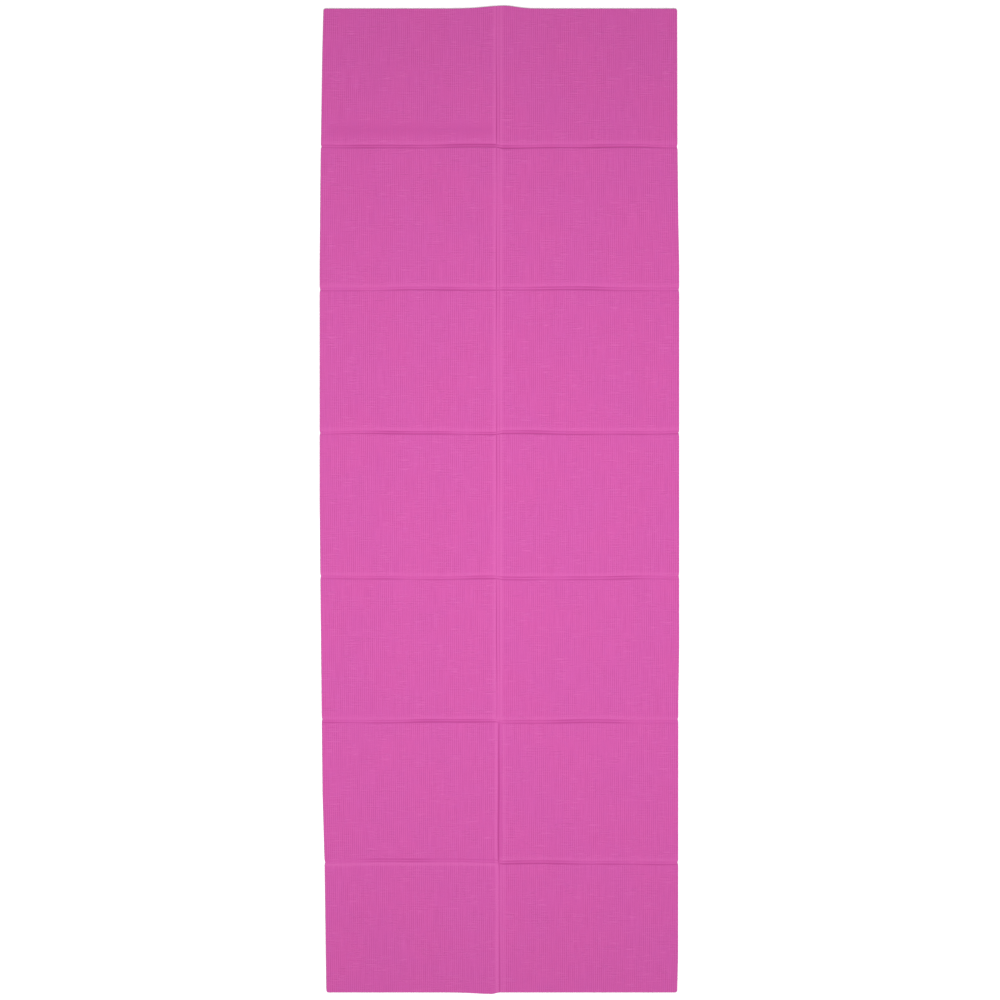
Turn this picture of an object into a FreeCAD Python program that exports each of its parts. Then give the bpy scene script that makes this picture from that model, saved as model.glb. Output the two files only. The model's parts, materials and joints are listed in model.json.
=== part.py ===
"""Folding exercise mat: a laminated foam sheet, creased into two columns of seven panels.

Each panel is a sandwich of top foam, woven reinforcing mesh and base foam. One lengthwise crease, the
spine, folds the left column over the right. Six cross creases then fold the mat like a concertina: creases
1, 3 and 5 fold upward (valley) and creases 2, 4 and 6 fold downward (mountain).

A mountain crease turns half a turn about a line just under the sheet. A valley crease has to wrap the two
layers of the other column, so it turns about a line one thickness above the sheet, and a pressed web there
turns half as far about the edge of the panel to its north.

Frame: origin at the centre of the mat's underside, +X to the right, +Y towards row 1, +Z up. Millimetres.
"""

import FreeCAD, Part
import os

import Sketcher

FOAM_ROWS = 7
VALLEY_CREASES = (1, 3, 5)
SMALL = 1e-4

# Driving dimensions, in millimetres: alias, value.
DIMENSIONS = (
    ("overall_width", 612.0),
    ("overall_length", 1680.0),
    ("first_row", 236.0),  # end of the mat to crease 1
    ("row_pitch", 244.4),  # crease to crease
    ("foam_thick", 1.3),  # each foam layer, away from the creases
    ("mesh_thick", 0.4),
    ("groove_depth", 0.6),  # how far each face is pressed in along a crease
    ("stack_gap", 0.2),  # free space between layers when folded
    ("slit", 0.2),  # gap between two parts that meet at a crease
    ("hinge_lift", 0.1),  # height above a web of the line it turns about
    ("left_web_thick", 0.8),
    ("corner_round", 3.0),
    ("shoulder_round", 0.4),
    ("web_round", 0.3),
)

# Lengths that follow from the driving dimensions, as expressions.
MAT_THICK = "(2 * Dims.foam_thick + Dims.mesh_thick)"
MESH_BOTTOM = "Dims.foam_thick"
MESH_TOP = "(Dims.foam_thick + Dims.mesh_thick)"
HALF_WIDTH = "(Dims.overall_width / 2)"
HALF_LENGTH = "(Dims.overall_length / 2)"
WEB_TOP = f"({MAT_THICK} - Dims.groove_depth)"
# A valley crease is as wide as the two folded layers inside it, their gaps, and the foam that stands higher
# than the lines its webs turn about.
CREASE_HALF = f"({MAT_THICK} + 1.5 * Dims.stack_gap + Dims.groove_depth - Dims.hinge_lift)"
# Room that the left web needs beside the left panels once both columns are folded together.
LEFT_SETBACK = "(2 * Dims.groove_depth + Dims.left_web_thick - Dims.hinge_lift + 2 * Dims.stack_gap)"
# Then the left web also stands between the faces of two right panels, with half a gap at each side.
LEFT_WEB_HALF = f"({CREASE_HALF} - Dims.groove_depth + Dims.hinge_lift - Dims.stack_gap / 2)"


def make_sheet(doc):
    """The spreadsheet of driving dimensions."""
    sheet = doc.addObject("Spreadsheet::Sheet", "Dims")
    for row, (alias, value) in enumerate(DIMENSIONS, start=1):
        sheet.set(f"A{row}", alias)
        sheet.set(f"B{row}", str(value))
        sheet.setAlias(f"B{row}", alias)
    doc.recompute()
    return sheet


def crease_y(crease):
    """The centre line of a cross crease, as an expression."""
    return f"({HALF_LENGTH} - Dims.first_row - {crease - 1} * Dims.row_pitch)"


def row_edge(side, row, north, plateau):
    """The north or south edge of a panel in one row, as an expression.

    plateau is True for the full-thickness part of the foam, False for the whole outline with its flanges.
    """
    crease = row - 1 if north else row
    toward_middle = "-" if north else "+"
    if crease == 0:
        return HALF_LENGTH
    if crease == FOAM_ROWS:
        return f"-{HALF_LENGTH}"
    if crease in VALLEY_CREASES:
        clearance = "Dims.slit / 2" if side == "right" else LEFT_SETBACK
        offset = f"({CREASE_HALF} + {clearance})"
    else:
        offset = CREASE_HALF if plateau else "Dims.slit / 2"
    return f"{crease_y(crease)} {toward_middle} {offset}"


def panel_box(side, row, plateau):
    """West, east, south and north edges of a panel, as expressions."""
    spine_edge = CREASE_HALF if plateau else "Dims.slit / 2"
    south = row_edge(side, row, False, plateau)
    north = row_edge(side, row, True, plateau)
    if side == "right":
        return spine_edge, HALF_WIDTH, south, north
    return f"-{HALF_WIDTH}", f"-{spine_edge}", south, north


def add_rectangle(body, name, plane, height, box):
    """A sketch of a rectangle on one of the body's own origin planes, raised by height."""
    sketch = body.newObject("Sketcher::SketchObject", name)
    support = next(f for f in body.Origin.OriginFeatures if f.Role == plane)
    sketch.AttachmentSupport = [(support, "")]
    sketch.MapMode = "FlatFace"
    sketch.setExpression("AttachmentOffset.Base.z", height)
    corners = [FreeCAD.Vector(x, y, 0) for x, y in ((-1, -1), (1, -1), (1, 1), (-1, 1))]
    for i in range(4):
        sketch.addGeometry(Part.LineSegment(corners[i], corners[(i + 1) % 4]), False)
    for i in range(4):
        sketch.addConstraint(Sketcher.Constraint("Coincident", i, 2, (i + 1) % 4, 1))
    for line in (0, 2):
        sketch.addConstraint(Sketcher.Constraint("Horizontal", line))
    for line in (1, 3):
        sketch.addConstraint(Sketcher.Constraint("Vertical", line))
    sides = (
        ("west", "DistanceX", 0, -1.0),
        ("east", "DistanceX", 1, 1.0),
        ("south", "DistanceY", 0, -1.0),
        ("north", "DistanceY", 2, 1.0),
    )
    for (label, kind, line, guess), expression in zip(sides, box):
        index = sketch.addConstraint(Sketcher.Constraint(kind, -1, 1, line, 1, guess))
        sketch.renameConstraint(index, label)
        sketch.setExpression(f"Constraints.{label}", expression)
    return sketch


def add_pad(body, name, sketch, length, downward=False):
    """A pad of the sketch, up or down from its plane."""
    pad = body.newObject("PartDesign::Pad", name)
    pad.Profile = sketch
    pad.Reversed = downward
    pad.setExpression("Length", length)
    sketch.Visibility = False
    return pad


def add_fillet(doc, body, name, wanted, radius):
    """Rounds the edges of the body's tip for which wanted(edge) is true. Does nothing where there are none."""
    doc.recompute()
    tip = body.Tip
    edges = [f"Edge{i}" for i, edge in enumerate(tip.Shape.Edges, start=1) if wanted(edge)]
    if not edges:
        return
    fillet = body.newObject("PartDesign::Fillet", name)
    fillet.Base = (tip, edges)
    fillet.setExpression("Radius", radius)


def at_mat_corner(sheet):
    """A test for the upright edges at the mat's four outer corners."""

    def wanted(edge):
        return all(
            abs(abs(v.X) - sheet.overall_width / 2) < SMALL
            and abs(abs(v.Y) - sheet.overall_length / 2) < SMALL
            for v in edge.Vertexes
        )

    return wanted


def on_level(height):
    """A test for the edges that lie wholly at one height."""

    def wanted(edge):
        box = edge.BoundBox
        return abs(box.ZMin - height) < SMALL and abs(box.ZMax - height) < SMALL

    return wanted


def make_foam(doc, sheet, side, row, top):
    """One foam layer of a panel: a pressed flange with the full-thickness plateau on it."""
    label = f"{side}_panel_{row}_{'top' if top else 'base'}_foam"
    body = doc.addObject("PartDesign::Body", label)
    body.Label = label
    level = MESH_TOP if top else MESH_BOTTOM
    flange = add_rectangle(body, f"{label}_flange", "XY_Plane", level, panel_box(side, row, False))
    add_pad(body, f"{label}_pressed", flange, "Dims.foam_thick - Dims.groove_depth", not top)
    plateau = add_rectangle(body, f"{label}_plateau", "XY_Plane", level, panel_box(side, row, True))
    add_pad(body, f"{label}_full", plateau, "Dims.foam_thick", not top)
    add_fillet(doc, body, f"{label}_corners", at_mat_corner(sheet), "Dims.corner_round")
    face_height = 2 * sheet.foam_thick + sheet.mesh_thick if top else 0.0
    add_fillet(doc, body, f"{label}_shoulders", on_level(face_height), "Dims.shoulder_round")
    return body


def make_mesh(doc, sheet, side, row):
    """The reinforcing mesh inside a panel, which reaches out to every edge of it."""
    label = f"{side}_panel_{row}_mesh"
    body = doc.addObject("PartDesign::Body", label)
    body.Label = label
    outline = add_rectangle(
        body, f"{label}_outline", "XY_Plane", MESH_BOTTOM, panel_box(side, row, False)
    )
    add_pad(body, f"{label}_layer", outline, "Dims.mesh_thick")
    add_fillet(doc, body, f"{label}_corners", at_mat_corner(sheet), "Dims.corner_round")
    return body


def make_web(doc, side, crease):
    """The pressed strip along a valley crease, which stands upright once the mat is folded.

    The left web is thinner and narrower, because it ends up between the right panels in the folded mat.
    """
    label = f"{side}_crease_web_{crease}"
    body = doc.addObject("PartDesign::Body", label)
    body.Label = label
    half = f"({CREASE_HALF} - Dims.slit / 2)" if side == "right" else LEFT_WEB_HALF
    bottom = "Dims.groove_depth" if side == "right" else f"{WEB_TOP} - Dims.left_web_thick"
    box = (f"{crease_y(crease)} - {half}", f"{crease_y(crease)} + {half}", bottom, WEB_TOP)
    start = "Dims.slit / 2" if side == "right" else f"-{HALF_WIDTH}"
    profile = add_rectangle(body, f"{label}_profile", "YZ_Plane", start, box)
    add_pad(body, f"{label}_strip", profile, f"{HALF_WIDTH} - Dims.slit / 2")
    add_fillet(doc, body, f"{label}_edges", lambda edge: edge.BoundBox.XLength > 1, "Dims.web_round")
    return body


def make_document():
    """The whole mat: returns the document and its sub-parts."""
    doc = FreeCAD.newDocument("folding_mat")
    sheet = make_sheet(doc)
    subparts = []
    for side in ("right", "left"):
        for row in range(1, FOAM_ROWS + 1):
            subparts.append(make_foam(doc, sheet, side, row, True))
            subparts.append(make_mesh(doc, sheet, side, row))
            subparts.append(make_foam(doc, sheet, side, row, False))
        for crease in VALLEY_CREASES:
            subparts.append(make_web(doc, side, crease))
    doc.recompute()
    return doc, subparts


def check(doc, subparts):
    """Stops the build if any object or any sub-part's shape is bad."""
    failed = [o.Name for o in doc.Objects if {"Invalid", "Error"} & set(o.State)]
    if failed:
        raise RuntimeError(f"objects did not recompute: {failed}")
    for part in subparts:
        if part.Shape.isNull() or not part.Shape.isValid() or len(part.Shape.Solids) != 1:
            raise RuntimeError(f"{part.Label} is not one valid solid")


def export(subparts):
    """Writes one STEP file for each sub-part, named by its label."""
    os.makedirs("parts", exist_ok=True)
    for part in subparts:
        part.Shape.exportStep(f"parts/{part.Label}.step")


document, parts = make_document()
check(document, parts)
export(parts)
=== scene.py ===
"""The looks of a folding exercise mat: a thin pink foam sheet, embossed like linen, with worn folds.

The whole sheet is one height field over flat sheet coordinates, u across and v along, in millimetres.
It is cut into closed shells along the CAD's creases: skins that ride on one panel, and crease pieces
between two. Each shell keeps its sheet coordinates, and the foam's material reads them.
"""

import json
import math

import bpy
import numpy as np
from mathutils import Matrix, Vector


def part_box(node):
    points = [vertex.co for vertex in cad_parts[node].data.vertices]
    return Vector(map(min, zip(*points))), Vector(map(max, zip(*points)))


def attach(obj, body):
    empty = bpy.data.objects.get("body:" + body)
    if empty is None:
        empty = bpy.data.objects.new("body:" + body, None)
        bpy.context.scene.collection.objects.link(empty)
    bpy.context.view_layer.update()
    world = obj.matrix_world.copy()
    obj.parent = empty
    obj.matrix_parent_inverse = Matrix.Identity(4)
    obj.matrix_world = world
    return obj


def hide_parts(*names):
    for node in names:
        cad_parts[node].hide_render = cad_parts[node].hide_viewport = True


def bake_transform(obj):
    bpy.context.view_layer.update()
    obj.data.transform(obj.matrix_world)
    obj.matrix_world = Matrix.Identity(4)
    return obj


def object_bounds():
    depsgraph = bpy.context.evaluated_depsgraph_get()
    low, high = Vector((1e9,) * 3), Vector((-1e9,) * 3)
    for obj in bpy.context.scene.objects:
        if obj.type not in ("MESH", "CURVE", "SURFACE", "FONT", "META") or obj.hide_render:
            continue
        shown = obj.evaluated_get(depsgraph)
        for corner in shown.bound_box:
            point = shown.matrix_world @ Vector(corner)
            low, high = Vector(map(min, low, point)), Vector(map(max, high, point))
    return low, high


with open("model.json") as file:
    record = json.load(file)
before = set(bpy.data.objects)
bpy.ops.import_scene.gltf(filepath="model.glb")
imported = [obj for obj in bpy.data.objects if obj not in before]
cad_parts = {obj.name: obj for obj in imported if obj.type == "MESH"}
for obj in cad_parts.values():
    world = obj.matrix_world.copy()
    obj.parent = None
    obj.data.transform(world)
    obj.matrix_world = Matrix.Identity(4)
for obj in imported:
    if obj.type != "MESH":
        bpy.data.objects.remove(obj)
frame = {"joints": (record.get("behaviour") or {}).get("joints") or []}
cad_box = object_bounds()

MM = 0.001
ROWS = 7
VALLEYS = (1, 3, 5)  # the cross creases that fold upwards; the others fold downwards


# ---------------------------------------------------------------- sizes, from the frame

joints = {joint["name"]: joint for joint in frame["joints"]}
panel_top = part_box("right_panel_1_top_foam")[1]
right_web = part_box("right_crease_web_1")
left_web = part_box("left_crease_web_1")

HALF_WIDTH = panel_top.x / MM
HALF_LENGTH = panel_top.y / MM
THICK = panel_top.z / MM
CREASE_Y = [joints[f"cross_crease_{k}"]["pos_m"][1] / MM for k in range(1, ROWS)]
GROOVE = THICK - right_web[1].z / MM  # how deep a crease is pressed into each face
LEFT_STRIP_BOTTOM = left_web[0].z / MM

# Half-widths of the strips along a valley crease: a little wider than the webs that they cover.
STRIP_HALF = (right_web[1].y - right_web[0].y) / MM / 2 + 0.1
LEFT_STRIP_HALF = (left_web[1].y - left_web[0].y) / MM / 2 + 0.05

SPINE_HALF = 5.0  # half-width of the pieces along the spine
PIECE_HALF = 8.0  # half-width of the pieces along the right column's creases


# ---------------------------------------------------------------- curves


def smooth(low, high, value):
    """0 below low, 1 above high, an S-curve between them."""
    t = np.clip((value - low) / (high - low), 0, 1)
    return t * t * (3 - 2 * t)


def hump(value, centre, width):
    """A soft hump of height 1."""
    return np.exp(-(((value - centre) / width) ** 2))


def waves(u, v, seed, lengths, directions):
    """A sum of plane waves between -1 and 1, with phases and headings from the seed."""
    random = np.random.default_rng(seed)
    total = np.zeros(np.broadcast(u, v).shape)
    for length in lengths:
        for _ in range(directions):
            heading = random.uniform(0, math.pi)
            phase = random.uniform(0, 2 * math.pi)
            along = u * math.cos(heading) + v * math.sin(heading)
            total = total + np.sin(2 * math.pi * along / length + phase)
    return total / (len(lengths) * directions)


def through(points, value):
    """The polyline through points, which are (place, height) pairs from the lowest place up."""
    return np.interp(value, [p[0] for p in points], [p[1] for p in points])


# ---------------------------------------------------------------- the outline


CORNER = 4.0  # radius of the mat's corners
OUTLINE_FROM = 0.35  # the outline's shift sets in at this share of the half-width
NARROWED = 12.0  # the left strips' narrowing moves the sheet up to this far from their creases
NICK_DEPTH = 1.0  # of the notch at a cross crease's end
NICK_WIDTH = 3.0
NICK_FROM = 0.95  # the notch sets in at this share of the half-width
POINT_FROM = 0.9  # the points at the spine's ends set in at this share of the half-length

# How far the worn long edges lie outside the panels' straight sides (inside where it is negative),
# as (v, distance) going up the mat.
LEFT_EDGE = ((-840, -11.5), (-620, -8.5), (-500, -5.0), (-160, -1.5), (0, 0.0), (400, 0.0), (560, -1.5),
             (760, -4.5), (840, -6.5))
RIGHT_EDGE = ((-840, -1.5), (-780, 0.0), (-340, 0.5), (-250, 2.0), (400, 2.0), (480, 0.5), (610, -1.0),
              (840, -1.5))

# The spine's ends push the short edges out of line: (rise, place across, spread west, spread east).
NORTH_POINT = (5.0, 9, 44, 28)
SOUTH_POINT = (-2.5, -12, 38, 8)


def from_edges(u, v):
    """Distances from the long edge and from the short edge."""
    return HALF_WIDTH - np.abs(u), HALF_LENGTH - np.abs(v)


def nearest_crease(v):
    """The number of the nearest cross crease, and the signed distance north of it."""
    distance = np.stack([v - y for y in CREASE_Y])
    index = np.argmin(np.abs(distance), axis=0)
    return index + 1, np.take_along_axis(distance, index[None], axis=0)[0]


def is_valley(crease):
    """Whether a crease folds upwards, for one number or an array of them."""
    return np.isin(crease, VALLEYS)


def lopsided(point, u):
    """A hump whose two sides spread differently."""
    rise, centre, west, east = point
    return rise * hump(u, centre, np.where(u < centre, west, east))


def rounded(u, v):
    """Moves the points near a corner onto its arc."""
    p = np.clip((np.abs(u) - HALF_WIDTH + CORNER) / CORNER, 0, 1)
    q = np.clip((np.abs(v) - HALF_LENGTH + CORNER) / CORNER, 0, 1)
    x = u - np.sign(u) * CORNER * (p - p * np.sqrt(1 - q * q / 2))
    y = v - np.sign(v) * CORNER * (q - q * np.sqrt(1 - p * p / 2))
    return x, y


def strip_shift(u, v):
    """How far north a point moves, so that a valley crease's strip is narrower in the left column."""
    crease, d = nearest_crease(v)
    reach = np.abs(d)
    half = STRIP_HALF + (LEFT_STRIP_HALF - STRIP_HALF) * smooth(SPINE_HALF, -SPINE_HALF, u)
    inner = reach * half / STRIP_HALF
    outer = half + (reach - STRIP_HALF) * (NARROWED - half) / (NARROWED - STRIP_HALF)
    moved = np.where(reach < STRIP_HALF, inner, np.where(reach < NARROWED, outer, reach))
    return np.where(is_valley(crease), np.sign(d) * (moved - reach), 0)


def place(u, v):
    """Sheet coordinates to x and y: rounded corners, narrow left strips and the worn outline."""
    x, y = rounded(u, v)
    y = y + strip_shift(u, v)

    across = np.abs(u) / HALF_WIDTH
    outside = np.where(u > 0, through(RIGHT_EDGE, v), through(LEFT_EDGE, v))
    nick = -NICK_DEPTH * hump(nearest_crease(v)[1], 0, NICK_WIDTH) * smooth(NICK_FROM, 1.0, across)
    x = x + np.sign(u) * (outside * smooth(OUTLINE_FROM, 1.0, across) + nick)

    near_end = smooth(POINT_FROM, 1.0, np.abs(v) / HALF_LENGTH)
    y = y + near_end * np.where(v > 0, lopsided(NORTH_POINT, u), lopsided(SOUTH_POINT, u))
    return x, y


# ---------------------------------------------------------------- the creases

# What a crease presses into the top face is a broad band and some narrow lines, all as shares of
# the groove's depth. A band is given as (distance north or east of the crease, share).
VALLEY_BAND = ((-4.8, 0), (-3.2, 0.55), (3, 0.5), (4.6, 0.26), (9.5, 0))
MOUNTAIN_BAND = ((-4.8, 0), (-3.2, 0.5), (3, 0.45), (4.6, 0.2), (8, 0))
SPINE_BAND = ((-6.5, 0), (-4.6, 0.3), (3.2, 0.3), (6.5, 0))

# Each cross crease has a north line and a south line, worn differently in the two columns.
LEFT_LINES_WORN = np.array(
    ((0.50, 0.50), (0.25, 0.65), (0.50, 0.90), (0.35, 0.65), (0.45, 0.90), (0.38, 0.42)))
RIGHT_LINES_WORN = np.array(
    ((0.25, 0.90), (0.50, 0.70), (0.40, 0.85), (0.60, 0.65), (0.50, 0.70), (0.40, 0.85)))
LINE_OFFSET = 2.2
LINE_WIDTH = 0.95

# How far each crease's worn lines lie north of its fold, on average, in millimetres. Around that they
# waver in waves given as (height, length of one radian, share of the phase).
LEFT_LEAN = np.array((1.5, 2.0, 0.7, -2.2, -3.2, 3.0))
RIGHT_LEAN = np.array((1.2, 2.3, 1.1, -2.8, -4.0, -0.4))
WAVER = ((0.8, 61, 1.0), (0.35, 23, 2.3))

# A cross crease's depth varies along it in such waves too, around a usual depth, and it is pressed
# less deeply towards the mat's edge.
USUAL_DEPTH = 0.9
DEPTH_RIPPLE = ((0.14, 37, 2.1), (0.08, 13, 1.0))
EDGE_DEPTH = 0.68
EDGE_REACH = 140

# The spine is worn in another way in rows 1 to 5, in row 6 and in row 7. Its lines there are given as
# (share, distance east, width): first the pressed ones, also painted as shade, then the paler ones.
SPINE_PRESSED = (
    ((0.72, -4.0, 0.85), (0.5, 0.8, 0.8)),
    ((1.15, -0.2, 1.3), (0.4, 4.8, 1.9)),
    ((0.75, 0.9, 0.9), (0.35, 5.8, 0.8)),
)
SPINE_PALE = (
    ((1.0, -7.2, 2.6), (0.8, -1.6, 1.8), (1.0, 3.8, 2.6)),
    ((1.0, -4.8, 2.2), (0.7, 8.4, 2.2)),
    ((1.3, -3.4, 2.4), (1.0, 3.2, 1.2), (0.7, 8.2, 2.2)),
)

DEEPEST = 1.35  # the most that creases press together, as a share of the groove's depth
CROSSING_RELIEF = 0.25  # how much shallower two creases are where they cross
COLUMN_FADE = 8  # one column's wear fades into the other's this far from the spine

# A painted highlight lies on a cross crease's shoulder, and the mat's rubbed edge is paler with wear.
SHOULDER_HIGHLIGHT = 0.5
TURNED_SHOULDER_HIGHLIGHT = 0.9
SHOULDER_OFFSET = 6
SHOULDER_WIDTH = 3
RUBBED_PALE = 0.25
RUBBED_REACH = 2.5


def rightness(u):
    """0 in the left column and 1 in the right one, fading across the spine."""
    return smooth(-COLUMN_FADE, COLUMN_FADE, u)


def ripple(waves_along, u, phase):
    """A sum of waves along u."""
    return sum(height * np.sin(u / length + share * phase) for height, length, share in waves_along)


def is_turned(crease, u):
    """The left half of the last crease is worn the other way up."""
    return (crease == len(CREASE_Y)) & (u < 0)


def stray(crease, u):
    """How far a worn crease's line lies north of its fold at u, in millimetres."""
    right = rightness(u)
    total = 0
    for part, share, lean in ((0, 1 - right, LEFT_LEAN), (1, right, RIGHT_LEAN)):
        phase = 1.7 * crease + 2.9 * part
        total = total + share * (ripple(WAVER, u, phase) + lean[crease - 1])
    return total


def uneven(crease, u):
    """A cross crease is pressed more deeply in some stretches than in others, and least at its ends."""
    fade = EDGE_DEPTH + (1 - EDGE_DEPTH) * smooth(0, EDGE_REACH, HALF_WIDTH - np.abs(u))
    return (USUAL_DEPTH + ripple(DEPTH_RIPPLE, u, crease)) * fade


def cross_press(u, v):
    """Share of the groove's depth that the cross creases press into the top face."""
    crease, d = nearest_crease(v)
    d = d - stray(crease, u)
    turned = is_turned(crease, u)
    d = np.where(turned, -d, d)
    right = rightness(u)
    north, south = [
        LEFT_LINES_WORN[crease - 1, line] * (1 - right) + RIGHT_LINES_WORN[crease - 1, line] * right
        for line in (0, 1)
    ]
    broad = np.where(is_valley(crease) | turned, through(VALLEY_BAND, d), through(MOUNTAIN_BAND, d))
    lines = north * hump(d, LINE_OFFSET, LINE_WIDTH) + south * hump(d, -LINE_OFFSET, LINE_WIDTH)
    return (broad + lines) * uneven(crease, u)


def spine_lines(stretches, x, v):
    """The spine's lines at x east of it, each stretch fading into the next near a cross crease."""
    first = smooth(CREASE_Y[4] - 9, CREASE_Y[4] + 3, v)
    last = smooth(CREASE_Y[5] + 5, CREASE_Y[5] - 15, v)
    total = 0
    for here, lines in zip((first, 1 - first - last, last), stretches):
        total = total + here * sum(share * hump(x, centre, width) for share, centre, width in lines)
    return total


def spine_press(u, v):
    """Share of the groove's depth that the spine presses into the top face. It wavers a little too."""
    x = u - 0.45 * np.sin(v / 70) - 0.3 * np.sin(v / 27 + 1)
    depth = 0.85 + 0.28 * np.sin(v / 48)
    return through(SPINE_BAND, x) + spine_lines(SPINE_PRESSED, x, v) * depth


def press(u, v):
    """Cross creases and spine together."""
    cross = cross_press(u, v)
    spine = spine_press(u, v)
    return np.minimum(np.maximum(cross, spine) - CROSSING_RELIEF * np.minimum(cross, spine), DEEPEST)


def pale_wear_and_highlight(u, v):
    """How much paler the foam is painted: in lines along the spine, as a painted highlight beside the
    cross creases, and as wear at the edge.
    """
    crease, d = nearest_crease(v)
    d = d - stray(crease, u)
    shoulder = np.where(is_turned(crease, u),
                        TURNED_SHOULDER_HIGHLIGHT * hump(d, -SHOULDER_OFFSET, SHOULDER_WIDTH),
                        SHOULDER_HIGHLIGHT * hump(d, SHOULDER_OFFSET, SHOULDER_WIDTH))
    rubbed = sum(smooth(RUBBED_REACH, 0, distance) for distance in from_edges(u, v))
    return np.clip(shoulder + spine_lines(SPINE_PALE, u, v) + RUBBED_PALE * rubbed, 0, 1)


# ---------------------------------------------------------------- hollows, edges and the two faces

# The sheet sags in soft waves between its creases. In the left column it also has a hollow and a
# stretch of painted shade with a flattened emboss, both just north of the first crease.
SAG_DEPTH = 0.45
SAG_LENGTHS = (150, 95)
SAG_DIRECTIONS = 4
SAG_SEED = 11
FLAT_EDGE = 30  # the sheet lies flat again within this distance of its edge
HOLLOW_DEPTH = 0.7
HOLLOW_NORTH = 52
HOLLOW_SPREAD = (24, 60)  # to the south and to the north
# A stretch of painted shade, which also flattens the emboss:
PAINTED_SHADE_SHARE = 0.56  # its effect on the emboss and the colour, compared with a crease's
PAINTED_SHADE_NORTH = 29
PAINTED_SHADE_WIDTH = 22

RIM_TOP = 0.9  # how far the cut edge rounds down from the top face
RIM_BOTTOM = 0.5
RIM_TOP_LIMIT = 0.35  # the same, as the largest share of the sheet's thickness there
RIM_BOTTOM_LIMIT = 0.2

# Distances from a crease at which its groove in the bottom face starts and has its full depth.
GROOVE_SIDE = (5, 2.6)
LEFT_GROOVE_SIDE = (7.5, 4.2)


def sag(u, v):
    """Shallow hollows between the creases, in millimetres."""
    soft = 0.5 + 0.5 * waves(u, v, SAG_SEED, SAG_LENGTHS, SAG_DIRECTIONS)
    from_long, from_short = from_edges(u, v)
    inside = smooth(0, FLAT_EDGE, from_long) * smooth(0, FLAT_EDGE, from_short)
    north = v - CREASE_Y[0]
    spread = np.where(north < HOLLOW_NORTH, *HOLLOW_SPREAD)
    hollow = HOLLOW_DEPTH * hump(north, HOLLOW_NORTH, spread) * smooth(0, -60, u)
    between = smooth(6, 40, np.abs(nearest_crease(v)[1])) * smooth(6, 30, np.abs(u))
    return (SAG_DEPTH * soft * between + hollow) * inside


def painted_hollow_shade(u, v):
    """Painted shade just north of the first crease in the left column, where the emboss is flattened
    too.
    """
    across = smooth(4, -14, u) * smooth(0, 14, from_edges(u, v)[0])
    return PAINTED_SHADE_SHARE * hump(v - CREASE_Y[0], PAINTED_SHADE_NORTH, PAINTED_SHADE_WIDTH) * across


def rim(u, v):
    """0 inside the sheet, rising to 1 along a quarter circle at the cut edge."""
    t = np.clip(1 - np.minimum(*from_edges(u, v)) / RIM_TOP, 0, 1)
    return 1 - np.sqrt(1 - t * t)


def under(u, v):
    """Height of the bottom face: the creases are pressed in from below too."""
    crease, d = nearest_crease(v)
    reach = np.abs(d)
    ordinary = GROOVE * smooth(*GROOVE_SIDE, reach)
    left_strip = LEFT_STRIP_BOTTOM * smooth(*LEFT_GROOVE_SIDE, reach)
    leftness = smooth(SPINE_HALF, -SPINE_HALF, u)
    cross = np.where(is_valley(crease), ordinary + leftness * (left_strip - ordinary), ordinary)
    return np.maximum(cross, GROOVE * smooth(*GROOVE_SIDE, np.abs(u)))


def faces(u, v):
    """Heights of the top and the bottom face."""
    top = THICK - GROOVE * press(u, v) - sag(u, v)
    bottom = under(u, v)
    body = top - bottom
    edge = rim(u, v)
    top = top - edge * np.minimum(RIM_TOP, RIM_TOP_LIMIT * body)
    bottom = bottom + edge * np.minimum(RIM_BOTTOM, RIM_BOTTOM_LIMIT * body)
    return top, bottom


# ---------------------------------------------------------------- grid lines

# Grid lines lie at these distances from an edge, from the spine and from a cross crease, so that they
# are close together where the sheet curves. Between them they are evenly spaced.
EDGE_INSETS = (0, 0.07, 0.25, 0.55, 0.9, 1.8, 3.0, 4.0)
NEAR_SPINE = (SPINE_HALF, 5.6, 6.4, 7.5, 9.5, 13.0, 18.0, 26.0)
NEAR_CREASE = (STRIP_HALF, 4.3, 4.8, 5.4, 6.1, 7.0, PIECE_HALF, 9.5, 12.0, 16.0, 22.0, 30.0)
ACROSS_STEP = 7.0
ALONG_STEP = 9.0
STRIP_STEP = 0.475
SPINE_STEP = 0.5


def spaced(start, end, step):
    """Evenly spaced values from start to end, both included."""
    count = max(1, int(round(abs(end - start) / step)))
    return list(np.linspace(start, end, count + 1))


def across_lines():
    """Grid lines across the right column, from the spine's pieces to the edge."""
    plain = spaced(NEAR_SPINE[-1], HALF_WIDTH - EDGE_INSETS[-1], ACROSS_STEP)
    return list(NEAR_SPINE[:-1]) + plain + [HALF_WIDTH - e for e in reversed(EDGE_INSETS[:-1])]


def along_lines(south, north):
    """Grid lines along the mat between two places, which are lines themselves."""
    lines = [HALF_LENGTH - e for e in EDGE_INSETS] + [-HALF_LENGTH + e for e in EDGE_INSETS]
    for y in CREASE_Y:
        lines += [y + side * d for d in NEAR_CREASE for side in (-1, 1)]
        lines += [y + d for d in spaced(-STRIP_HALF, STRIP_HALF, STRIP_STEP)]
    lines = sorted(set(np.round(lines, 4)))
    filled = []
    for a, b in zip(lines[:-1], lines[1:]):
        filled += spaced(a, b, ALONG_STEP)[:-1]
    same = 1e-3  # lines nearer than this are one line
    return np.array([south] + [v for v in filled if south + same < v < north - same] + [north])


RIGHT_LINES = np.array(across_lines())
LEFT_LINES = -RIGHT_LINES[::-1]
SPINE_LINES = np.array(spaced(-SPINE_HALF, SPINE_HALF, SPINE_STEP))


# ---------------------------------------------------------------- shells

WALL_SHARES = (0.33, 0.66)  # loops of points run around a shell's wall at these shares of its height
SHARP_ANGLE = math.radians(42)


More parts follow.
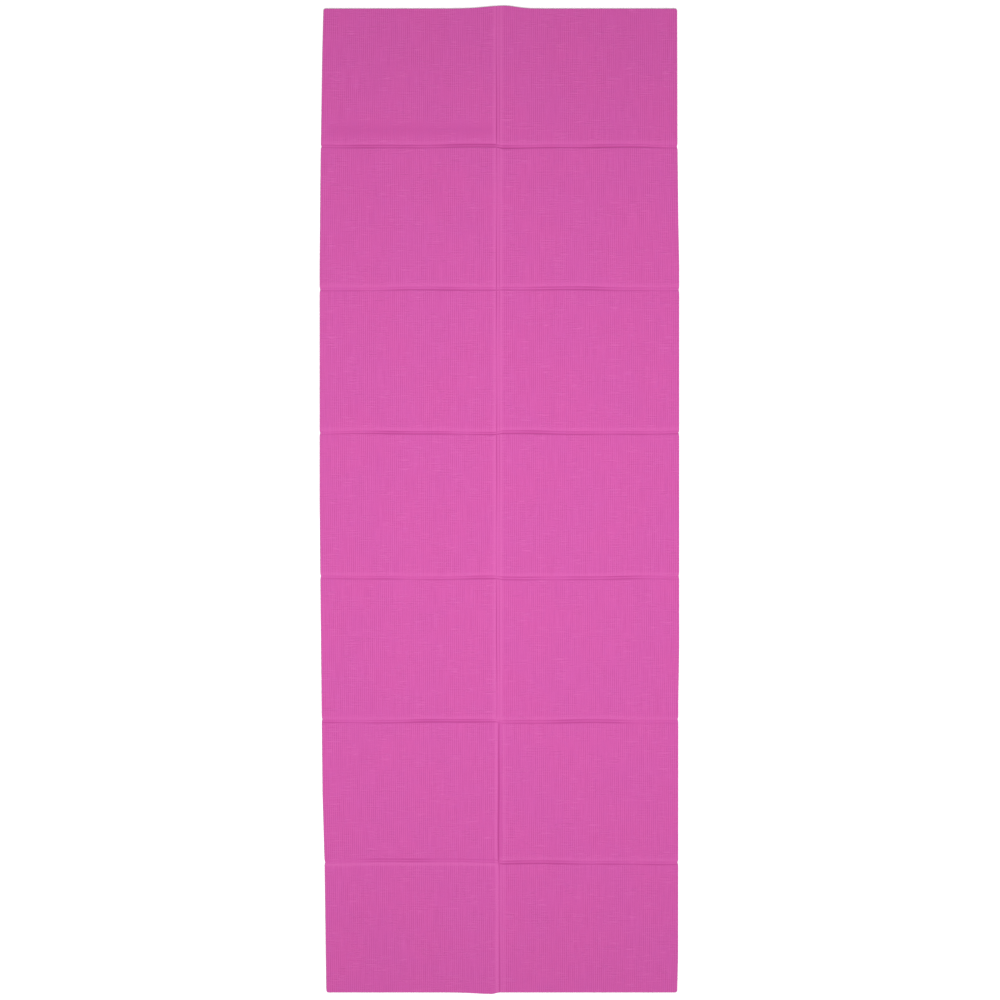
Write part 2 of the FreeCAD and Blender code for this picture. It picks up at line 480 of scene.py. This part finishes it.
def border_of(rows, columns):
    """Indices of a grid's border vertices, once around, counter-clockwise seen from above."""
    south = list(range(columns))
    east = [r * columns + columns - 1 for r in range(1, rows)]
    north = [(rows - 1) * columns + c for c in range(columns - 2, -1, -1)]
    west = [r * columns for r in range(rows - 2, 0, -1)]
    return np.array(south + east + north + west)


def polygons_of(rows, columns, border):
    """Faces of a closed shell: the upper grid, the lower grid, and the wall's loops between them."""
    count = rows * columns
    grid = np.arange(count).reshape(rows, columns)
    corners = (grid[:-1, :-1], grid[:-1, 1:], grid[1:, 1:], grid[1:, :-1])
    quads = np.stack(corners, axis=-1).reshape(-1, 4)
    around = np.arange(len(border))
    loops = [border + count, 2 * count + around, 2 * count + len(border) + around, border]
    walls = [np.stack([a, np.roll(a, -1), np.roll(b, -1), b], axis=-1)
             for a, b in zip(loops[:-1], loops[1:])]
    return np.concatenate([quads, quads[:, ::-1] + count] + walls)


def store(mesh, name, kind, field, values):
    """Stores one value for each vertex."""
    attribute = mesh.attributes.new(name, kind, "POINT")
    attribute.data.foreach_set(field, np.asarray(values, np.float32).ravel())


def shell(name, us, vs):
    """A closed shell of the sheet over the grid lines us and vs, with the data its material reads."""
    u, v = np.meshgrid(us, vs)
    x, y = place(u, v)
    top, bottom = faces(u, v)
    border = border_of(*u.shape)

    upper, lower = [np.stack([x, y, z], axis=-1).reshape(-1, 3) for z in (top, bottom)]
    middles = [lower[border] * (1 - share) + upper[border] * share for share in WALL_SHARES]
    points = np.concatenate([upper, lower] + middles)
    flat = np.stack([u, v], axis=-1).reshape(-1, 2)
    flat = np.concatenate([flat, flat, flat[border], flat[border]])
    u, v = flat[:, 0], flat[:, 1]

    mesh = bpy.data.meshes.new(name)
    mesh.from_pydata((points * MM).tolist(), [], polygons_of(*x.shape, border).tolist())
    mesh.update()
    store(mesh, "rest", "FLOAT_VECTOR", "vector", np.concatenate([flat, points[:, 2:]], axis=1))
    # Crease depth plus the painted hollow shade: the material flattens the emboss by it and paints
    # shade with it.
    store(mesh, "pressed_and_painted_shade", "FLOAT", "value", press(u, v) + painted_hollow_shade(u, v))
    store(mesh, "pale_wear_and_highlight", "FLOAT", "value", pale_wear_and_highlight(u, v))
    store(mesh, "cut", "FLOAT", "value", rim(u, v))
    mesh.shade_smooth()
    mesh.set_sharp_from_angle(angle=SHARP_ANGLE)
    mesh.materials.append(foam)

    piece = bpy.data.objects.new(name, mesh)
    bpy.context.scene.collection.objects.link(piece)
    return piece


# ---------------------------------------------------------------- materials

PINK = (0.590, 0.084, 0.352, 1)
# Painted shade, in the creases and in the emboss's hollows.
PINK_PAINTED_SHADE = (0.455, 0.050, 0.260, 1)
# Painted highlight on the ribs and the crease shoulders; also the paler spine lines and the wear of the
# rubbed edge.
PINK_HIGHLIGHT_AND_WEAR = (0.670, 0.124, 0.420, 1)
PINK_BLUE = (0.555, 0.086, 0.372, 1)
# Painted shade on the cut edge's rounded rim.
PINK_RIM_SHADE = (0.310, 0.085, 0.240, 1)
MESH_COLOUR = (0.80, 0.62, 0.70, 1)
FLOOR_COLOUR = (0.97, 0.97, 0.97, 1)
WHITE = (1, 1, 1, 1)

RIB_PITCH = 3.54
THREADS_PER_RIB = 3
BARS_PER_RIB = 1.3
EMBOSS_DEPTH = 0.09  # millimetres, as are GRAIN_DEPTH and the sizes of all the noises
GRAIN_DEPTH = 0.012
MESH_HEIGHT = (1.2, 1.8)  # of the mesh's pale line in the cut edge
THROUGH = 50  # a noise this long through the sheet hardly changes between its two faces


class Nodes:
    """Short calls for building a material's node tree."""

    def __init__(self, material):
        material.use_nodes = True
        self.tree = material.node_tree
        self.tree.nodes.clear()

    def add(self, kind, **settings):
        """A new node with the given settings."""
        node = self.tree.nodes.new(kind)
        for key, value in settings.items():
            setattr(node, key, value)
        return node

    def link(self, output, socket):
        """Joins a node's output to a socket, or sets the socket to a plain value."""
        if isinstance(output, (int, float, tuple)):
            socket.default_value = output
        else:
            self.tree.links.new(output, socket)

    def attribute(self, name, output):
        """One of the values stored at the mesh's vertices."""
        return self.add("ShaderNodeAttribute", attribute_name=name).outputs[output]

    def coordinates(self, vector):
        """A vector's three outputs."""
        node = self.add("ShaderNodeSeparateXYZ")
        self.link(vector, node.inputs[0])
        return node.outputs

    def math(self, operation, a, b):
        """A sum, a product or the like; one that needs a single value ignores b."""
        node = self.add("ShaderNodeMath", operation=operation)
        self.link(a, node.inputs[0])
        self.link(b, node.inputs[1])
        return node.outputs[0]

    def noise(self, vector, size, detail=1.0, roughness=0.5):
        """Smooth noise between 0 and 1, whose blobs have this size along the three axes."""
        scaled = self.add("ShaderNodeVectorMath", operation="DIVIDE")
        self.link(vector, scaled.inputs[0])
        self.link(size, scaled.inputs[1])
        node = self.add("ShaderNodeTexNoise", noise_dimensions="3D")
        self.link(scaled.outputs[0], node.inputs["Vector"])
        self.link(1.0, node.inputs["Scale"])
        self.link(detail, node.inputs["Detail"])
        self.link(roughness, node.inputs["Roughness"])
        return node.outputs["Fac"]

    def ramp(self, value, low, high, to_low=0.0, to_high=1.0):
        """An S-curve from to_low at low to to_high at high."""
        node = self.add("ShaderNodeMapRange", interpolation_type="SMOOTHSTEP")
        self.link(value, node.inputs["Value"])
        limits = {"From Min": low, "From Max": high, "To Min": to_low, "To Max": to_high}
        for name, number in limits.items():
            self.link(number, node.inputs[name])
        return node.outputs["Result"]

    def mix(self, share, a, b):
        """Colour a, with the given share of colour b."""
        node = self.add("ShaderNodeMix", data_type="RGBA")
        self.link(share, node.inputs["Factor"])
        self.link(a, node.inputs["A"])
        self.link(b, node.inputs["B"])
        return node.outputs["Result"]

    def wave(self, along, length, wobble, amount):
        """A regular wave along one coordinate, bent a little by a noise."""
        turn = self.math("MULTIPLY", along, 2 * math.pi / length)
        return self.math("SINE", self.math("ADD", turn, self.math("MULTIPLY", wobble, amount)), 0.0)

    def finish(self, shader):
        """Makes a shader the material's surface."""
        output = self.add("ShaderNodeOutputMaterial")
        self.link(shader.outputs[0], output.inputs[0])


def weighted_sum(nodes, *terms):
    """Adds (weight, value) pairs."""
    products = [nodes.math("MULTIPLY", value, weight) for weight, value in terms]
    total = products[0]
    for product in products[1:]:
        total = nodes.math("ADD", total, product)
    return total


def linen(nodes, rest):
    """The embossed pattern's height: lengthwise ribs and threads, with patches of crosswise threads."""
    across, along = nodes.coordinates(rest)[:2]
    bend = nodes.noise(rest, (40, 90, THROUGH))

    rib = nodes.wave(across, RIB_PITCH, bend, 2.0)
    rib_strength = nodes.ramp(nodes.noise(rest, (26, 44, THROUGH)), 0.3, 0.6, 0.35, 1.0)
    rib = nodes.math("MULTIPLY", rib, rib_strength)
    thread = nodes.wave(across, RIB_PITCH / THREADS_PER_RIB, bend, 5.0)
    thread = nodes.math("MULTIPLY", thread, nodes.noise(rest, (2.6, 24, THROUGH), 2.0))
    slub = nodes.math("SUBTRACT", nodes.noise(rest, (1.5, 46, THROUGH), 2.0), 0.5)

    patch = nodes.ramp(nodes.noise(rest, (38, 27, THROUGH)), 0.43, 0.56, 0.12, 1.0)
    bar = nodes.wave(along, RIB_PITCH / BARS_PER_RIB, bend, 1.5)
    bar = nodes.math("MULTIPLY", bar, nodes.ramp(nodes.noise(rest, (16, 5, THROUGH)), 0.45, 0.62))
    weft = nodes.ramp(nodes.noise(rest, (30, 1.5, THROUGH)), 0.57, 0.72)
    crosswise = weighted_sum(nodes, (2.0, weft), (0.9, bar))

    lengthwise = weighted_sum(nodes, (0.72, rib), (0.8, thread), (1.5, slub))
    return nodes.math("ADD", lengthwise, nodes.math("MULTIPLY", crosswise, patch))


def foam_colour(nodes, rest, emboss):
    """Mottled pink, with painted shade in the creases and the emboss's hollows, and painted highlights
    on its ribs and the crease shoulders; paler along the spine's lines and at the rubbed edge.
    """
    pressed_and_painted_shade = nodes.attribute("pressed_and_painted_shade", "Fac")
    cloudy = nodes.ramp(nodes.noise(rest, (95, 120, THROUGH), 2.0), 0.35, 0.65, 0.0, 0.35)
    mottle = nodes.ramp(nodes.noise(rest, (8, 11, THROUGH), 2.0), 0.5, 0.7, 0.0, 0.4)
    colour = nodes.mix(cloudy, PINK, PINK_BLUE)
    colour = nodes.mix(mottle, colour, PINK_BLUE)
    # Painted shade in the emboss's hollows, and a painted highlight on its ribs.
    colour = nodes.mix(nodes.ramp(emboss, -0.9, 0.1, 0.62, 0.0), colour, PINK_PAINTED_SHADE)
    colour = nodes.mix(nodes.ramp(emboss, 0.1, 0.9, 0.0, 0.5), colour, PINK_HIGHLIGHT_AND_WEAR)
    # Painted highlight on the crease shoulders, paler lines along the spine, and paler wear at the
    # rubbed edge.
    colour = nodes.mix(nodes.math("MULTIPLY", nodes.attribute("pale_wear_and_highlight", "Fac"), 0.5), colour, PINK_HIGHLIGHT_AND_WEAR)
    # Painted shade in the creases, and in the hollow north of the first left crease.
    return nodes.mix(nodes.ramp(pressed_and_painted_shade, 0.33, 1.12), colour, PINK_PAINTED_SHADE)


def cut_edge_colour(nodes, rest, colour):
    """Adds the cut edge: painted shade on its rounded rim, with the mesh as a pale broken line in its
    middle.
    """
    cut = nodes.attribute("cut", "Fac")
    # Painted shade on the rounded rim.
    colour = nodes.mix(nodes.math("MULTIPLY", cut, 0.45), colour, PINK_RIM_SHADE)
    height = nodes.coordinates(rest)[2]
    low, high = MESH_HEIGHT
    soft = 0.1
    above = nodes.ramp(height, low, low + soft)
    below = nodes.ramp(height, high, high - soft)
    core = nodes.math("MULTIPLY", above, below)
    core = nodes.math("MULTIPLY", core, nodes.ramp(cut, 0.6, 0.9))
    weave = nodes.ramp(nodes.noise(rest, (1.1, 1.1, 0.6)), 0.45, 0.6, 0.1, 0.5)
    return nodes.mix(nodes.math("MULTIPLY", core, weave), colour, MESH_COLOUR)


def make_foam():
    """Matte PVC foam, embossed like linen. The emboss is flattened where a crease is pressed in."""
    material = bpy.data.materials.new("foam")
    nodes = Nodes(material)
    rest = nodes.attribute("rest", "Vector")
    flattened = nodes.ramp(nodes.attribute("pressed_and_painted_shade", "Fac"), 0.0, 0.8, 1.0, 0.25)
    emboss = nodes.math("MULTIPLY", linen(nodes, rest), flattened)
    grain = nodes.noise(rest, (0.55, 0.55, 0.55), 3.0, 0.6)

    bump = nodes.add("ShaderNodeBump")
    nodes.link(weighted_sum(nodes, (EMBOSS_DEPTH, emboss), (GRAIN_DEPTH, grain)), bump.inputs["Height"])
    nodes.link(1.0, bump.inputs["Strength"])
    nodes.link(MM, bump.inputs["Distance"])
    shader = nodes.add("ShaderNodeBsdfPrincipled")
    colour = cut_edge_colour(nodes, rest, foam_colour(nodes, rest, emboss))
    nodes.link(colour, shader.inputs["Base Color"])
    nodes.link(nodes.ramp(grain, 0.3, 0.7, 0.72, 0.86), shader.inputs["Roughness"])
    nodes.link(0.3, shader.inputs["Specular IOR Level"])
    nodes.link(bump.outputs[0], shader.inputs["Normal"])
    nodes.finish(shader)
    return material


def make_floor_material():
    """A plain pale studio floor. Its faint glow keeps it pale towards the horizon."""
    material = bpy.data.materials.new("floor")
    nodes = Nodes(material)
    shader = nodes.add("ShaderNodeBsdfPrincipled")
    nodes.link(FLOOR_COLOUR, shader.inputs["Base Color"])
    nodes.link(0.9, shader.inputs["Roughness"])
    nodes.link(0.0, shader.inputs["Specular IOR Level"])
    nodes.link(WHITE, shader.inputs["Emission Color"])
    nodes.link(0.22, shader.inputs["Emission Strength"])
    nodes.finish(shader)
    return material


# ---------------------------------------------------------------- the mat's pieces


def layers(side, row):
    """The CAD nodes of one panel."""
    return [f"{side}_panel_{row}_{layer}" for layer in ("top_foam", "mesh", "base_foam")]


def row_ends(row, valley_gap, mountain_gap):
    """South and north ends of a row, leaving a gap at each valley and each mountain crease."""
    south, north = -HALF_LENGTH, HALF_LENGTH
    if row < ROWS:
        south = CREASE_Y[row - 1] + (valley_gap if row in VALLEYS else mountain_gap)
    if row > 1:
        north = CREASE_Y[row - 2] - (valley_gap if row - 1 in VALLEYS else mountain_gap)
    return south, north


def bend_spine(piece):
    """Bakes a piece of the spine's placement into its points."""
    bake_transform(piece)


def make_panels():
    """The skins that ride on one panel each, and the spine pieces between each row's two panels."""
    for row in range(1, ROWS + 1):
        ends = row_ends(row, PIECE_HALF, PIECE_HALF)
        right = shell(f"right_skin_{row}", RIGHT_LINES, along_lines(*ends))
        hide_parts(*layers("right", row))
        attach(right, f"right_panel_{row}")

        south, north = row_ends(row, STRIP_HALF, 0)
        left = shell(f"left_skin_{row}", LEFT_LINES, along_lines(south, north))
        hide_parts(*layers("left", row))
        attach(left, f"left_panel_{row}")

        spine = shell(f"spine_{row}", SPINE_LINES, along_lines(south, north))
        bend_spine(spine)


def make_creases():
    """The pieces along the right column's creases, and the strips along the valley creases of the rest.
    """
    for crease, y in enumerate(CREASE_Y, start=1):
        bend = shell(f"right_crease_{crease}", RIGHT_LINES, along_lines(y - PIECE_HALF, y + PIECE_HALF))
        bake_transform(bend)
        if crease in VALLEYS:
            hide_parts(f"right_crease_web_{crease}")
            strip_lines = along_lines(y - STRIP_HALF, y + STRIP_HALF)
            strip = shell(f"left_crease_{crease}", LEFT_LINES, strip_lines)
            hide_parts(f"left_crease_web_{crease}")
            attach(strip, f"left_web_{crease}")
            spine_strip = shell(f"spine_crease_{crease}", SPINE_LINES, strip_lines)
            bend_spine(spine_strip)


# ---------------------------------------------------------------- floor, light, camera

FLOOR_HALF = 12.0  # metres, as are all the lengths of the stage
FLOOR_DROP = 0.0002  # the floor is just below the mat's underside, not in its plane
SUN_PLACE = Vector((1.1, -2.5, 2.4))
SUN_ANGLE = math.radians(22)
SUN_STRENGTH = 1.12
LAMP_SOUTH = 0.07
LAMP_HEIGHT = 1.75
LAMP_SIZE = 1.0
LAMP_POWER = 24
SURROUND_STRENGTH = 0.3

VIEW_WIDTH = 1.7073  # the picture's width, at the height of the mat's top face
VIEW_CENTRE = (0.0019, 0.0009)  # the picture's middle, from the mat's
FARTHEST = 50
SENSOR = 36.0  # millimetres, as is the lens
LENS = 110.0


def look_at(thing, target):
    """Turns a light or a camera towards a point."""
    direction = thing.location - target
    thing.rotation_euler = direction.to_track_quat("Z", "Y").to_euler()


def add_to_scene(name, data):
    """An object for a mesh, a light or a camera."""
    thing = bpy.data.objects.new(name, data)
    bpy.context.scene.collection.objects.link(thing)
    return thing


def make_floor():
    """A large square under the mat."""
    mesh = bpy.data.meshes.new("floor")
    corners = [(x * FLOOR_HALF, y * FLOOR_HALF, -FLOOR_DROP)
               for x, y in ((-1, -1), (1, -1), (1, 1), (-1, 1))]
    mesh.from_pydata(corners, [], [(0, 1, 2, 3)])
    mesh.materials.append(make_floor_material())
    add_to_scene("floor", mesh)


def make_light(centre):
    """A broad sun from the south, a soft lamp overhead and a dim even surround."""
    sun = bpy.data.lights.new("key", "SUN")
    sun.angle = SUN_ANGLE
    sun.energy = SUN_STRENGTH
    key = add_to_scene("key", sun)
    key.location = centre + SUN_PLACE
    look_at(key, centre)

    area = bpy.data.lights.new("top", "AREA")
    area.size = LAMP_SIZE
    area.energy = LAMP_POWER
    lamp = add_to_scene("top", area)
    lamp.location = centre + Vector((0.0, -LAMP_SOUTH, LAMP_HEIGHT))
    look_at(lamp, centre + Vector((0.0, -LAMP_SOUTH, 0.0)))
    lamp.visible_camera = False

    world = bpy.data.worlds.new("surround")
    world.use_nodes = True
    background = world.node_tree.nodes["Background"]
    background.inputs["Color"].default_value = WHITE
    background.inputs["Strength"].default_value = SURROUND_STRENGTH
    bpy.context.scene.world = world


def make_camera(centre):
    """A long lens straight above, with the mat's length along the picture's height."""
    camera = bpy.data.cameras.new("camera")
    camera.sensor_width = SENSOR
    camera.lens = LENS
    camera.clip_end = FARTHEST
    holder = add_to_scene("camera", camera)
    height = THICK * MM + VIEW_WIDTH * LENS / SENSOR
    holder.location = (centre.x + VIEW_CENTRE[0], centre.y + VIEW_CENTRE[1], height)
    bpy.context.scene.camera = holder


foam = make_foam()
make_panels()
make_creases()

middle = (cad_box[0] + cad_box[1]) / 2
make_floor()
make_light(middle)
make_camera(middle)
bpy.context.scene.view_settings.view_transform = "Standard"
